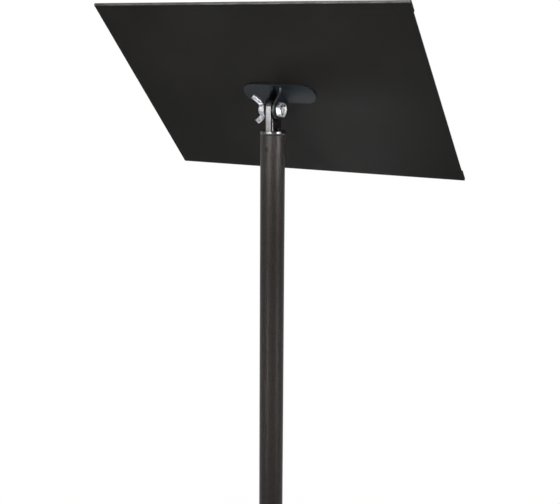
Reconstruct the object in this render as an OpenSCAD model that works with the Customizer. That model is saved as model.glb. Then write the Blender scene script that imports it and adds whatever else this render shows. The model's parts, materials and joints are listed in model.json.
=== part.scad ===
// Orchestra music stand: a hemmed sheet-steel desk on a tilt hinge, a telescopic mast
// with a knob clamp, and a three-legged base. Millimetres, +Z up, the floor at Z = 0 and
// the mast's axis on the Z axis. The player sits on the -Y side.

/* [Music desk] */
// Width of the desk, left to right
desk_w = 432; // [320:1:520]
// Depth of the desk, from its lower to its upper edge
desk_d = 304; // [220:1:380]
// Thickness of the desk's sheet
sheet_t = 1.5; // [1:0.1:2]
// Width of the folded hem along the top and bottom edges
hem_w = 17; // [10:0.5:24]
// Space left open inside a hem
hem_gap = 1; // [0.4:0.1:1.4]
// Lean of the desk back from upright, in degrees
desk_tilt = 43.3; // [20:0.1:70]

/* [Ledge] */
// Length of the ledge that the sheets stand on
ledge_w = 370; // [260:1:400]
// Depth of the ledge's shelf, out from the desk
ledge_d = 40; // [25:1:60]
// Height of the lip along the front of the shelf
ledge_lip = 12; // [8:0.5:20]
// Height of the flange that is welded to the desk
ledge_flange = 15; // [10:0.5:25]
// Thickness of the ledge's sheet
ledge_t = 1.5; // [1:0.1:2]
// Inside radius of the ledge's two bends
bend_r = 1; // [0.6:0.1:2]
// Radius of the lip's upper corners
lip_corner_r = 7; // [3:0.5:7.5]
// Space between the ledge and the hem below it
ledge_gap = 1; // [0.5:0.1:4]

/* [Tilt bracket] */
// Distance from the tilt axis to the back of the desk
hinge_off = 28; // [26:0.5:36]
// Width of the bracket's round-ended plate
plate_w = 103; // [80:1:140]
// Height of the plate
plate_h = 32; // [30:0.5:44]
// Rise of the plate's centre above the tilt axis, along the desk
plate_rise = 2; // [0:0.5:3]
// Thickness of the plate
plate_t = 2.5; // [2:0.1:4]
// Thickness of each ear
ear_t = 3; // [2:0.1:4]
// Radius of the ears' round ends, and half of their width
ear_r = 11.5; // [10.8:0.1:12.5]

/* [Tilt bolt and wing nut] */
// Diameter of the tilt bolt
bolt_d = 10; // [8:0.5:11]
// Length of the bolt under its head
bolt_len = 28; // [26:0.5:32]
// Width of the hex head across its flats
head_af = 17; // [15:0.5:19]
// Height of the hex head
head_h = 6.4; // [4:0.1:8]
// Outer diameter of the two steel washers
washer_d = 20; // [18:0.5:24]
// Thickness of the two steel washers
washer_t = 1.6; // [1:0.1:2.5]
// Outer diameter of the fibre washers beside the tongue
fibre_d = 21; // [16:0.5:22]
// Thickness of the fibre washers
fibre_t = 1.1; // [0.6:0.1:2]
// Diameter of the wing nut's hub at its seat
nut_d = 16.4; // [15:0.2:20]
// Height of the wing nut's hub
nut_h = 7; // [5:0.5:10]
// Span of the wings, tip to tip
wing_span = 41; // [34:0.5:52]
// Height of the wing tips above the nut's seat
wing_h = 19.5; // [15:0.5:24]
// Width of a wing, seen flat
wing_w = 7.6; // [5:0.2:10]
// Thickness of a wing
wing_t = 3.8; // [2.5:0.1:5]
// Turn of the wings from upright where the nut is tight, in degrees
wing_turn = 20; // [0:1:90]

/* [Mast head] */
// Thickness of the tongue between the ears
tongue_t = 7; // [5:0.1:10]
// Width of the tongue, front to back
tongue_w = 24.4; // [22:0.2:27]
// Chamfer along the tongue's upright edges
tongue_edge = 0.8; // [0.3:0.1:1.5]
// Distance from the tilt axis down to the head's flange
flange_drop = 26.6; // [25:0.1:34]
// Thickness of the flange that rests on the tube
flange_t = 5; // [3:0.1:8]
// How far the flange stands out past the tube
flange_lap = 0.5; // [0.2:0.1:1.5]
// Length of the head's stub inside the tube
stub_len = 30; // [24:1:50]
// Diameter of the pin that holds the stub in the tube
pin_d = 4; // [3:0.1:6]
// Distance from the tube's top to the pin
pin_drop = 18; // [8:0.5:20]
// Length of the pin
pin_len = 12; // [6:0.5:14]

/* [Mast tubes] */
// Outer diameter of the upper tube
upper_d = 32; // [30:0.1:32.6]
// Wall of the upper tube
upper_wall = 1.5; // [1.2:0.1:2.5]
// Length of the upper tube
upper_len = 700; // [640:1:760]
// Outer diameter of the lower tube
lower_d = 38; // [37.5:0.1:42]
// Wall of the lower tube
lower_wall = 1.5; // [1.2:0.1:1.7]
// Length of the lower tube
lower_len = 560; // [520:1:600]
// How far the upper tube reaches into the lower one
slide_in = 133.6; // [100:0.1:200]
// Length of the guide bush at the foot of the upper tube
guide_len = 40; // [20:1:60]
// Thickness of the spring clip above the guide bush
clip_t = 1.4; // [1:0.1:2]
// Depth of the clip's groove in the tube
clip_groove = 0.5; // [0.3:0.1:0.7]
// Thickness of the flange of the plug in the tube's foot
end_flange = 4; // [2:0.5:8]
// Length of that plug inside the tube
end_len = 18; // [10:1:30]

/* [Height clamp] */
// Outer diameter of the collar
collar_d = 50; // [46:0.5:60]
// Length of the collar along the lower tube
collar_grip = 44; // [30:1:70]
// Height of the bush above the lower tube
bush_h = 20; // [16:0.5:30]
// Thickness of the collar's lip over the bush
collar_lip = 2; // [1.5:0.1:4]
// Diameter of the boss that carries the clamp screw
boss_d = 20; // [17:0.5:20]
// Distance from the mast's axis to the face of the boss
boss_reach = 38; // [34:0.5:48]
// Diameter of the clamp screw
stud_d = 8; // [6:0.5:8]
// Diameter of the brass shoe that presses on the tube
shoe_d = 9.6; // [9:0.1:12]
// Length of the shoe
shoe_len = 4; // [3:0.1:6]
// Diameter of the knob over its lobes
knob_d = 42; // [30:1:56]
// Thickness of the knob's head
knob_t = 15; // [10:0.5:22]
// Length of the knob's neck
knob_neck = 6; // [4:0.5:14]
// Space between the boss and the knob's neck where the clamp is tight
knob_gap = 3; // [1:0.5:5]
// Number of lobes on the knob
knob_lobes = 5; // [3:1:8]
// Diameter of the collar's two set screws
grub_d = 5; // [4:0.5:6]

/* [Base] */
// Distance from the mast's axis to the middle of a foot
leg_reach = 300; // [240:1:360]
// Thickness of a leg
leg_t = 10; // [8:0.5:14]
// Height of a leg at its root
leg_root = 42; // [34:1:50]
// Height of the leg's root above the floor
leg_base = 52; // [46:1:60]
// Upward bulge of the leg's top edge
leg_bulge = 15; // [8:0.5:22]
// Upward bulge of the leg's bottom edge
leg_hollow = 17; // [8:0.5:20]
// Diameter of the round boss at the leg's tip
tip_d = 24; // [20:0.5:32]
// Height of that boss
tip_h = 13; // [10:0.5:18]
// Diameter of a rubber foot
foot_d = 32; // [26:0.5:44]
// Height of a rubber foot under the leg
foot_h = 12; // [8:0.5:20]
// Diameter of the foot's stem
stem_d = 8; // [6:0.5:10]
// Height of the bulb that holds the stem in the leg
bulb_h = 3.5; // [2.5:0.1:5]
// How far the bulb stands out past the stem
bulb_lip = 1; // [0.5:0.1:1.5]
// Outer diameter of the hub's core
hub_d = 60; // [54:1:72]
// Height of the hub's underside above the floor
hub_base = 36; // [28:1:40]
// Height of the hub's top above the leg roots
hub_rise = 24; // [10:1:40]
// Thickness of the hub's floor under the lower tube
hub_floor = 14; // [8:0.5:16]
// Height of that floor's top above the floor of the room
tube_seat = 62; // [58:1:70]
// Rise of the hub's sloping shoulder
shoulder_h = 8; // [4:0.5:12]
// Wall of the hub's neck round the lower tube
neck_wall = 4.5; // [3:0.1:7]
// Thickness of the cheeks on each side of a leg
cheek_t = 6; // [4:0.5:8]
// How far the cheeks stand past a leg's root, above and below it
cheek_lap = 5; // [3:0.5:6]
// How far the cheeks reach from the mast's axis
cheek_reach = 56; // [50:1:70]
// Diameter of the bolts through the cheeks
leg_bolt_d = 6; // [5:0.5:8]
// Distance of a leg's two bolts from the cheeks' rim and from the leg's edges
bolt_inset = 9.5; // [8:0.5:12]
// Diameter of the bolt that holds the lower tube down
anchor_d = 10; // [8:0.5:12]
// Height of the threaded plug in the lower tube
anchor_h = 26; // [16:1:40]

/* [Hidden] */
$fn = 96;

// Radial clearance of a shaft in its hole, moving or not
fit = 0.05;
// Clearance between faces that move past each other
run_gap = 0.3;
// How far a cutting tool passes the face it cuts
over = 1;
colour_desk = [0.13, 0.12, 0.115];
colour_black = [0.05, 0.05, 0.055];
colour_zinc = [0.78, 0.8, 0.82];
colour_steel = [0.55, 0.56, 0.58];
colour_nylon = [0.16, 0.16, 0.16];
colour_brass = [0.78, 0.62, 0.3];
colour_rubber = [0.07, 0.07, 0.07];
colour_fibre = [0.35, 0.2, 0.13];

// Desk and ledge
fold_r = sheet_t + hem_gap / 2;
desk_face = hinge_off + sheet_t;
ledge_y = -desk_d / 2 + hem_w + ledge_gap;
bend_out = bend_r + ledge_t;

// Stack along the tilt axis, outwards from the middle of the tongue
bolt_r = bolt_d / 2;
ear_in = tongue_t / 2 + run_gap + fibre_t;
ear_out = ear_in + ear_t;
head_seat = ear_out + washer_t;
nut_seat = ear_out + 2 * run_gap + washer_t;
plate_back = hinge_off - plate_t;
flare_up = plate_rise + plate_h / 2 - ear_r;
flare_down = plate_h / 2 - plate_rise - ear_r;

// Mast
upper_r = upper_d / 2;
upper_bore = upper_r - upper_wall;
lower_r = lower_d / 2;
lower_bore = lower_r - lower_wall;
lower_top = tube_seat + lower_len;
upper_foot = lower_top - slide_in;
upper_top = upper_foot + upper_len;
hinge_h = upper_top + flange_t + flange_drop;
guide_foot = upper_foot + run_gap;
clip_foot = guide_foot + guide_len + run_gap;
slide_bore = upper_r + fit;

// Height clamp
collar_bore = lower_r + fit;
collar_top = lower_top + bush_h + collar_lip;
clamp_z = lower_top + bush_h / 2;
stud_r = stud_d / 2;
shoe_r = shoe_d / 2;
shoe_in = upper_r + run_gap;
stud_in = shoe_in + shoe_len + run_gap / 2;
shoe_room = stud_in + 3;
neck_x = boss_reach + knob_gap;
knob_x = neck_x + knob_neck;
stud_out = knob_x + 0.6 * knob_t;
grub_z = lower_top - collar_grip / 2;

// Base
LEGS = [90, 210, 330];
leg_in = collar_bore + 3;
tip_top = foot_h + tip_h;
leg_top = leg_base + leg_root;
cheek_top = leg_top + cheek_lap;
cheek_base = leg_base - cheek_lap;
hub_top = leg_top + hub_rise;
hub_r = hub_d / 2;
recess_r = 20;
slot_w = leg_t + 2 * fit;
cheek_w = slot_w + 2 * cheek_t;
leg_heel = cheek_reach - leg_bolt_d;
LEG_BOLTS = [
    [cheek_reach - bolt_inset, leg_base + bolt_inset],
    [cheek_reach - 1.5 * bolt_inset, leg_top - bolt_inset]
];
leg_bolt_r = leg_bolt_d / 2;
anchor_r = anchor_d / 2;

// Sets its children in the desk's frame: X along the tilt axis, Y up the slope of the
// desk, Z out of the reading side, with the origin on the tilt axis.
module on_desk() {
    translate([0, 0, hinge_h])
        rotate([90 - desk_tilt, 0, 0])
            children();
}

// Extrudes an outline drawn in the Y-Z plane along X, centred.
module along_x(length) {
    translate([-length / 2, 0, 0])
        rotate([90, 0, 90])
            linear_extrude(length)
                children();
}

// A bar, disc or hole along +X that starts at x.
module rod_x(x, length, r) {
    translate([x, 0, 0])
        rotate([0, 90, 0])
            cylinder(h = length, r = r);
}

// A flat ring on the tilt axis that starts at x.
module washer_x(x, thickness, r) {
    translate([0, 0, hinge_h])
        difference() {
            rod_x(x, thickness, r);
            rod_x(x - over, thickness + 2 * over, bolt_r + 2 * fit);
        }
}

// A tube standing on z = 0.
module tube(r_out, r_in, length) {
    difference() {
        cylinder(h = length, r = r_out);
        translate([0, 0, -over])
            cylinder(h = length + 2 * over, r = r_in);
    }
}

// A cylinder on z = 0 with both rims chamfered by c.
module turned(r, length, c) {
    rotate_extrude()
        polygon([[0, 0], [r - c, 0], [r, c], [r, length - c], [r - c, length], [0, length]]);
}

// A hexagonal prism on z = 0 whose far corners are turned off at 30 degrees.
module hex_block(across_flats, height) {
    corner_r = across_flats / sqrt(3);
    flat_r = across_flats / 2 - 0.3;
    drop = (corner_r - flat_r) * tan(30);
    intersection() {
        cylinder(h = height, r = corner_r, $fn = 6);
        rotate_extrude()
            polygon([
                [0, 0], [corner_r, 0], [corner_r, height - drop],
                [flat_r, height], [0, height]
            ]);
    }
}

// A quarter of a ring about the point c, turned to face the angle a.
module bend(c, a, r_in, r_out) {
    translate(c)
        rotate(a)
            intersection() {
                difference() {
                    circle(r_out);
                    circle(r_in);
                }
                square(r_out);
            }
}

// The square corner left outside a quarter circle of radius r.
module fillet(r) {
    difference() {
        square(r);
        translate([r, r])
            circle(r);
    }
}

// One folded hem at the end of the desk's profile, on its +X side.
module hem() {
    translate([desk_d / 2 - fold_r, fold_r]) {
        bend([0, 0], 0, hem_gap / 2, fold_r);
        bend([0, 0], -90, hem_gap / 2, fold_r);
        translate([fold_r - hem_w, hem_gap / 2])
            square([hem_w - fold_r, sheet_t]);
    }
}

// The desk: one sheet, with its upper and lower edges folded flat to the front.
module desk_panel() {
    color(colour_desk)
        on_desk()
            translate([0, 0, hinge_off])
                along_x(desk_w) {
                    translate([fold_r - desk_d / 2, 0])
                        square([desk_d - 2 * fold_r, sheet_t]);
                    hem();
                    mirror([1, 0])
                        hem();
                }
}

// The ledge's section: a flange up the desk, a shelf out from it and a lip.
module ledge_section() {
    translate([bend_out, 0])
        square([ledge_flange - bend_out, ledge_t]);
    bend([bend_out, bend_out], 180, bend_r, bend_out);
    translate([0, bend_out])
        square([ledge_t, ledge_d - 2 * bend_out]);
    bend([bend_out, ledge_d - bend_out], 90, bend_r, bend_out);
    translate([bend_out, ledge_d - ledge_t])
        square([ledge_lip - bend_out, ledge_t]);
}

// The ledge that the sheets stand on, with the corners of its lip rounded.
module desk_ledge() {
    color(colour_desk)
        on_desk()
            translate([0, ledge_y, desk_face])
                difference() {
                    along_x(ledge_w)
                        ledge_section();
                    for (a = [0, 1])
                        mirror([a, 0, 0])
                            translate([ledge_w / 2, ledge_lip, ledge_d - 2 * ledge_t])
                                rotate([0, 0, 180])
                                    translate([-over, -over, 0])
                                        linear_extrude(2 * ledge_t + over)
                                            lip_cut();
                }
}

// The corner taken off the lip, with a little to spare outside it.
module lip_cut() {
    difference() {
        square(lip_corner_r + over);
        translate([lip_corner_r + over, lip_corner_r + over])
            circle(lip_corner_r);
    }
}

// A round-ended plate outline.
module round_ended(width, height) {
    square([width - height, height], center = true);
    for (s = [-1, 1])
        translate([s * (width - height) / 2, 0])
            circle(height / 2);
}

// One ear of the bracket in the desk's Y-Z plane, flared where it meets the plate.
module ear_outline() {
    difference() {
        union() {
            circle(ear_r);
            translate([-ear_r, 0])
                square([2 * ear_r, plate_back]);
            translate([ear_r, plate_back])
                mirror([0, 1])
                    fillet(flare_up);
            translate([-ear_r, plate_back])
                rotate(180)
                    fillet(flare_down);
        }
        circle(bolt_r + fit);
    }
}

// The bracket: a round-ended plate on the back of the desk, with two ears on it.
module tilt_bracket() {
    color(colour_black)
        on_desk() {
            translate([0, plate_rise, plate_back])
                linear_extrude(plate_t)
                    round_ended(plate_w, plate_h);
            for (s = [-1, 1])
                translate([s * (ear_in + ear_t / 2), 0, 0])
                    along_x(ear_t)
                        ear_outline();
        }
}

// The hex bolt that the desk tilts on, with its head on the -X side.
module tilt_bolt() {
    color(colour_zinc)
        translate([-head_seat, 0, hinge_h]) {
            rotate([0, -90, 0])
                hex_block(head_af, head_h);
            rotate([0, 90, 0])
                turned(bolt_r, bolt_len, 1);
        }
}

// The washer under the bolt's head.
module head_washer() {
    color(colour_zinc)
        washer_x(-head_seat, washer_t, washer_d / 2);
}

// The two fibre washers that rub on the tongue.
module friction_washers() {
    color(colour_fibre) {
        washer_x(-ear_in, fibre_t, fibre_d / 2);
        washer_x(ear_in - fibre_t, fibre_t, fibre_d / 2);
    }
}

// The washer under the wing nut.
module nut_washer() {
    color(colour_zinc)
        washer_x(ear_out + run_gap, washer_t, washer_d / 2);
}

// One wing in the X-Z plane: a bar that leans out from the hub, with a blunt round tip.
module wing_outline() {
    root = [nut_h / 2, bolt_r];
    tip = [wing_h - 0.7 * wing_w, wing_span / 2 - 0.5 * wing_w];
    lean = atan2(tip[1] - root[1], tip[0] - root[0]);
    reach = norm(tip - root);
    nose_r = wing_w / 3;
    translate(root)
        rotate(lean) {
            translate([0, -wing_w / 2])
                square([reach, wing_w]);
            translate([reach, nose_r - wing_w / 2])
                square([nose_r, wing_w - 2 * nose_r]);
            for (s = [-1, 1])
                translate([reach, s * (wing_w / 2 - nose_r)])
                    circle(nose_r);
        }
}

// The wing nut on the +X side, in place on the bolt.
module wing_nut() {
    color(colour_zinc)
        translate([nut_seat, 0, hinge_h])
            rotate([-wing_turn, 0, 0])
                difference() {
                    union() {
                        rotate([0, 90, 0])
                            rotate_extrude()
                                polygon([
                                    [0, 0], [nut_d / 2, 0], [nut_d / 2, nut_h / 3],
                                    [nut_d / 2 - 0.8, nut_h], [0, nut_h]
                                ]);
                        for (a = [0, 180])
                            rotate([a, 0, 0])
                                rotate([90, 0, 0])
                                    linear_extrude(wing_t, center = true)
                                        wing_outline();
                    }
                    rod_x(-over, wing_h + 2 * over, bolt_r + fit);
                }
}

// The mast's head: a tongue that takes the bolt, a flange and a stub inside the tube.
module post_plug() {
    half_w = tongue_w / 2;
    half_t = tongue_t / 2;
    c = tongue_edge;
    color(colour_black)
        translate([0, 0, hinge_h])
            difference() {
                union() {
                    intersection() {
                        along_x(tongue_t) {
                            circle(half_w);
                            translate([-half_w, -flange_drop])
                                square([tongue_w, flange_drop]);
                        }
                        translate([0, 0, -flange_drop])
                            linear_extrude(flange_drop + tongue_w)
                                polygon([
                                    [half_t, c - half_w], [half_t, half_w - c],
                                    [half_t - c, half_w], [c - half_t, half_w],
                                    [-half_t, half_w - c], [-half_t, c - half_w],
                                    [c - half_t, -half_w], [half_t - c, -half_w]
                                ]);
                    }
                    translate([0, 0, -flange_drop - flange_t])
                        turned(upper_r + flange_lap, flange_t, 0.6);
                    translate([0, 0, -flange_drop - flange_t - stub_len])
                        turned(upper_bore - fit, stub_len + over, 0.6);
                }
                rod_x(-tongue_t, 2 * tongue_t, bolt_r + fit);
                pin_hole();
            }
}

// The hole for the pin, from the back of the tube into the stub.
module pin_hole() {
    translate([0, upper_r + over, -flange_drop - flange_t - pin_drop])
        rotate([90, 0, 0])
            cylinder(h = pin_len + over + fit, d = pin_d + 2 * fit);
}

// The pin that keeps the mast's head in the upper tube.
module plug_pin() {
    color(colour_steel)
        translate([0, upper_r, upper_top - pin_drop])
            rotate([90, 0, 0])
                turned(pin_d / 2, pin_len, 0.5);
}

// The upper tube, with the pin's hole and a groove for the clip.
module upper_tube() {
    color(colour_desk)
        difference() {
            translate([0, 0, upper_foot])
                tube(upper_r, upper_bore, upper_len);
            translate([0, 0, hinge_h])
                pin_hole();
            translate([0, 0, clip_foot])
                tube(upper_r + over, upper_r - clip_groove, clip_t + fit);
        }
}

// The moulded plug in the foot of the upper tube, which keeps the guide bush on.
module tube_end_plug() {
    color(colour_nylon)
        translate([0, 0, upper_foot])
            difference() {
                union() {
                    translate([0, 0, -end_flange])
                        turned(lower_bore - run_gap, end_flange, 0.6);
                    turned(upper_bore - fit, end_len, 0.6);
                }
                translate([0, 0, -end_flange - over])
                    cylinder(h = end_flange + end_len + 2 * over, r = upper_bore - 4);
            }
}

// The open spring clip in the tube's groove, above the guide bush.
module guide_clip() {
    clip_r = (upper_r + lower_bore) / 2 + 0.6;
    color(colour_steel)
        translate([0, 0, clip_foot + fit / 2])
            difference() {
                tube(clip_r, upper_r - clip_groove + fit, clip_t);
                translate([0, -clip_r - over, -over])
                    translate([-4, 0, 0])
                        cube([8, clip_r, clip_t + 2 * over]);
            }
}

// The bush that slides in the lower tube and lets the upper tube turn in it.
module guide_bush() {
    rib_h = guide_len / 8;
    waist = 0.4;
    color(colour_nylon)
        translate([0, 0, guide_foot])
            difference() {
                tube(lower_bore - fit, slide_bore, guide_len);
                for (k = [1, 3, 5])
                    translate([0, 0, (k + 0.5) * rib_h])
                        tube(lower_bore + over, lower_bore - fit - waist, rib_h);
            }
}

// The lower tube.
module lower_tube() {
    color(colour_desk)
        translate([0, 0, tube_seat])
            tube(lower_r, lower_bore, lower_len);
}

// The collar on top of the lower tube, with the boss for the clamp screw.
module clamp_collar() {
    r = collar_d / 2;
    edge = 2;
    foot = lower_top - collar_grip;
    height = collar_top - foot;
    color(colour_black)
        difference() {
            union() {
                translate([0, 0, foot])
                    turned(r, height, edge);
                translate([0, 0, clamp_z])
                    rotate([0, 90, 0])
                        turned(boss_d / 2, boss_reach, 1);
            }
            translate([0, 0, foot - over])
                cylinder(h = height - collar_lip + over, r = collar_bore);
            translate([0, 0, foot])
                cylinder(h = height + over, r = upper_r + run_gap);
            translate([0, 0, clamp_z]) {
                rod_x(0, shoe_room, shoe_r + run_gap);
                rod_x(0, boss_reach + over, stud_r + fit);
            }
            for (a = [90, 270])
                translate([0, 0, grub_z])
                    rotate([0, 0, a])
                        rod_x(0, r + over, grub_d / 2 + fit);
        }
}

// The bush that guides the upper tube in the collar, with a window for the shoe.
module collar_bush() {
    color(colour_nylon)
        difference() {
            translate([0, 0, lower_top])
                tube(collar_bore - fit, slide_bore, bush_h);
            translate([0, 0, clamp_z])
                rod_x(0, lower_d, shoe_r + run_gap);
        }
}

// The two set screws that hold the collar on the lower tube.
module collar_screws() {
    length = collar_d / 2 - lower_r - fit - 1;
    color(colour_steel)
        for (a = [90, 270])
            translate([0, 0, grub_z])
                rotate([0, 0, a])
                    translate([lower_r + fit, 0, 0])
                        rotate([0, 90, 0])
                            difference() {
                                turned(grub_d / 2, length, 0.4);
                                translate([0, 0, length / 2])
                                    cylinder(h = length, r = grub_d / 4, $fn = 6);
                            }
}

// The brass shoe that the clamp screw presses on the upper tube.
module brake_shoe() {
    color(colour_brass)
        translate([shoe_in, 0, clamp_z])
            rotate([0, 90, 0])
                turned(shoe_r, shoe_len, 0.5);
}

// The clamp screw.
module clamp_stud() {
    color(colour_zinc)
        translate([stud_in, 0, clamp_z])
            rotate([0, 90, 0])
                turned(stud_r, stud_out - stud_in, 0.8);
}

// The lobed knob moulded on the clamp screw.
module clamp_knob() {
    r = knob_d / 2;
    neck_r = 0.45 * r;
    dip_r = 0.62 * PI * r / knob_lobes;
    dip_at = r + 0.45 * dip_r;
    color(colour_black)
        translate([0, 0, clamp_z])
            difference() {
                translate([neck_x, 0, 0])
                    rotate([0, 90, 0])
                        rotate_extrude()
                            polygon([
                                [0, 0], [neck_r, 0], [neck_r + 1, knob_neck],
                                [r - 2, knob_neck + 1], [r, knob_neck + 3],
                                [r, knob_neck + knob_t - 4], [r - 3, knob_neck + knob_t - 1],
                                [0.5 * r, knob_neck + knob_t], [0, knob_neck + knob_t]
                            ]);
                for (k = [0:knob_lobes - 1])
                    rotate([360 * (k + 0.5) / knob_lobes, 0, 0])
                        translate([0, 0, dip_at])
                            rod_x(knob_x, knob_t + over, dip_r);
                rod_x(neck_x - over, stud_out - neck_x + over + fit, stud_r + fit);
            }
}

// The steel plug in the foot of the lower tube, tapped for the anchor bolt.
module tube_anchor() {
    color(colour_steel)
        translate([0, 0, tube_seat])
            tube(lower_bore - fit, anchor_r + fit, anchor_h);
}

// The washer under the hub's floor.
module anchor_washer() {
    color(colour_zinc)
        translate([0, 0, tube_seat - hub_floor - washer_t])
            tube(anchor_d, anchor_r + fit, washer_t);
}

// The bolt that pulls the lower tube down into the hub.
module anchor_bolt() {
    head_z = tube_seat - hub_floor - washer_t;
    color(colour_zinc)
        translate([0, 0, head_z]) {
            mirror([0, 0, 1])
                hex_block(1.6 * anchor_d, 0.6 * anchor_d);
            turned(anchor_r, washer_t + hub_floor + 0.8 * anchor_h, 1);
        }
}

// The outline of the cheeks beside one leg, in the X-Z plane.
module cheek_outline() {
    corner = 12;
    square_h = cheek_top - cheek_base;
    translate([0, cheek_base])
        square([cheek_reach - corner, square_h]);
    translate([0, cheek_base + corner])
        square([cheek_reach, square_h - 2 * corner]);
    for (z = [cheek_base + corner, cheek_top - corner])
        translate([cheek_reach - corner, z])
            circle(corner);
}

// The holes for one leg's two bolts.
module leg_bolt_holes() {
    for (p = LEG_BOLTS)
        translate([p[0], -cheek_w, p[1]])
            rotate([-90, 0, 0])
                cylinder(h = 2 * cheek_w, r = leg_bolt_r + fit);
}

// The cast hub that holds the lower tube and the three legs.
module base_hub() {
    edge = 4;
    rim = 1.5;
    shoulder = cheek_top + edge;
    neck_r = lower_r + neck_wall;
    color(colour_black)
        difference() {
            union() {
                rotate_extrude()
                    polygon([
                        [0, hub_base], [hub_r - edge, hub_base], [hub_r, hub_base + edge],
                        [hub_r, shoulder], [neck_r, shoulder + shoulder_h],
                        [neck_r, hub_top - rim], [neck_r - rim, hub_top], [0, hub_top]
                    ]);
                for (a = LEGS)
                    rotate([0, 0, a])
                        rotate([90, 0, 0])
                            linear_extrude(cheek_w, center = true)
                                cheek_outline();
            }
            translate([0, 0, tube_seat])
                cylinder(h = hub_top, r = collar_bore);
            translate([0, 0, -over])
                cylinder(h = tube_seat + 2 * over, r = anchor_r + fit);
            translate([0, 0, -over])
                cylinder(h = tube_seat - hub_floor + over, r = recess_r);
            for (a = LEGS)
                rotate([0, 0, a]) {
                    translate([leg_in, -slot_w / 2, leg_base - fit])
                        cube([cheek_reach, slot_w, cheek_top + over - leg_base + fit]);
                    leg_bolt_holes();
                }
        }
}

// Radius of the circle through both ends of a chord with the given rise at its middle.
function arc_r(p, q, rise) = (pow(norm(q - p) / 2, 2) + rise * rise) / (2 * rise);

// Centre of that circle, below the chord from p to q.
function arc_centre(p, q, rise) =
    let (mid = (p + q) / 2, u = (q - p) / norm(q - p))
    mid - (arc_r(p, q, rise) - rise) * [-u[1], u[0]];

// The disc bounded by that circle.
module arc_disc(p, q, rise) {
    translate(arc_centre(p, q, rise))
        circle(r = arc_r(p, q, rise), $fn = 360);
}

// One leg's side view in the X-Z plane: an arched, tapering bar.
module leg_outline() {
    heel = [leg_in + fit, leg_top];
    toe = [leg_reach, tip_top];
    heel_low = [leg_heel, leg_base];
    toe_low = [leg_reach - tip_d / 2, foot_h];
    intersection() {
        difference() {
            arc_disc(heel, toe, leg_bulge);
            arc_disc(heel_low, toe_low, leg_hollow);
            square([leg_heel, leg_base]);
            square([leg_reach, foot_h]);
        }
        translate([heel[0], 0])
            square([leg_reach - heel[0], leg_top]);
    }
}

// The root of a leg between the hub's cheeks.
module leg_root_outline() {
    translate([leg_in + fit, leg_base])
        square([leg_heel - leg_in, leg_root / 2]);
}

// A leg along +X: the arched bar and the boss that the foot is pushed into.
module leg() {
    color(colour_black)
        difference() {
            union() {
                intersection() {
                    rotate([90, 0, 0])
                        linear_extrude(leg_t, center = true)
                            leg_outline();
                    translate([leg_in, -leg_t, 0])
                        cube([leg_reach, 2 * leg_t, leg_top]);
                }
                rotate([90, 0, 0])
                    linear_extrude(leg_t, center = true)
                        leg_root_outline();
                translate([leg_reach, 0, foot_h])
                    turned(tip_d / 2, tip_h, 1);
            }
            translate([leg_reach, 0, 0])
                cylinder(h = leg_top, r = stem_d / 2 + fit);
            translate([leg_reach, 0, tip_top])
                cylinder(h = leg_top, r = stem_d / 2 + bulb_lip + run_gap);
            leg_bolt_holes();
        }
}

// A rubber foot along +X, with the stem and the bulb that hold it in the leg.
module foot() {
    r = foot_d / 2;
    stem_r = stem_d / 2;
    bulb_top = tip_top + bulb_h;
    color(colour_rubber)
        translate([leg_reach, 0, 0])
            rotate_extrude()
                polygon([
                    [0, 0], [r - 2, 0], [r, 2], [r - 1, foot_h - 2], [r - 3, foot_h],
                    [stem_r, foot_h], [stem_r, tip_top], [stem_r + bulb_lip, tip_top],
                    [stem_r + bulb_lip, tip_top + bulb_lip], [0.6 * stem_r, bulb_top], [0, bulb_top]
                ]);
}

// Puts a part of leg number k in its place round the mast.
module at_leg(k) {
    rotate([0, 0, LEGS[k - 1]])
        children();
}

// The six socket-head bolts through the cheeks and the legs.
module leg_bolts() {
    head = leg_bolt_d;
    seat = cheek_w / 2;
    color(colour_zinc)
        for (k = [1:len(LEGS)], p = LEG_BOLTS)
            at_leg(k)
                translate([p[0], -seat, p[1]])
                    rotate([-90, 0, 0])
                        difference() {
                            union() {
                                translate([0, 0, -head])
                                    turned(0.83 * leg_bolt_d, head, 0.5);
                                turned(leg_bolt_r, cheek_w + leg_bolt_d, 0.6);
                            }
                            translate([0, 0, -head - over])
                                cylinder(h = head / 2 + over, r = 0.48 * leg_bolt_d, $fn = 6);
                        }
}

// The six nuts on those bolts.
module leg_nuts() {
    color(colour_zinc)
        for (k = [1:len(LEGS)], p = LEG_BOLTS)
            at_leg(k)
                translate([p[0], cheek_w / 2, p[1]])
                    rotate([-90, 0, 0])
                        difference() {
                            hex_block(1.66 * leg_bolt_d, 0.8 * leg_bolt_d);
                            translate([0, 0, -over])
                                cylinder(h = leg_bolt_d + 2 * over, r = leg_bolt_r + fit);
                        }
}

desk_panel();
desk_ledge();
tilt_bracket();
tilt_bolt();
head_washer();
friction_washers();
nut_washer();
wing_nut();
post_plug();
plug_pin();
upper_tube();
tube_end_plug();
guide_clip();
guide_bush();
lower_tube();
clamp_collar();
collar_bush();
collar_screws();
brake_shoe();
clamp_stud();
clamp_knob();
tube_anchor();
anchor_bolt();
anchor_washer();
base_hub();
at_leg(1) leg();  // leg_1
at_leg(2) leg();  // leg_2
at_leg(3) leg();  // leg_3
at_leg(1) foot();  // foot_1
at_leg(2) foot();  // foot_2
at_leg(3) foot();  // foot_3
leg_bolts();
leg_nuts();
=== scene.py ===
import json
import math

import bmesh
import bpy
from mathutils import Matrix, Vector


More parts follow.
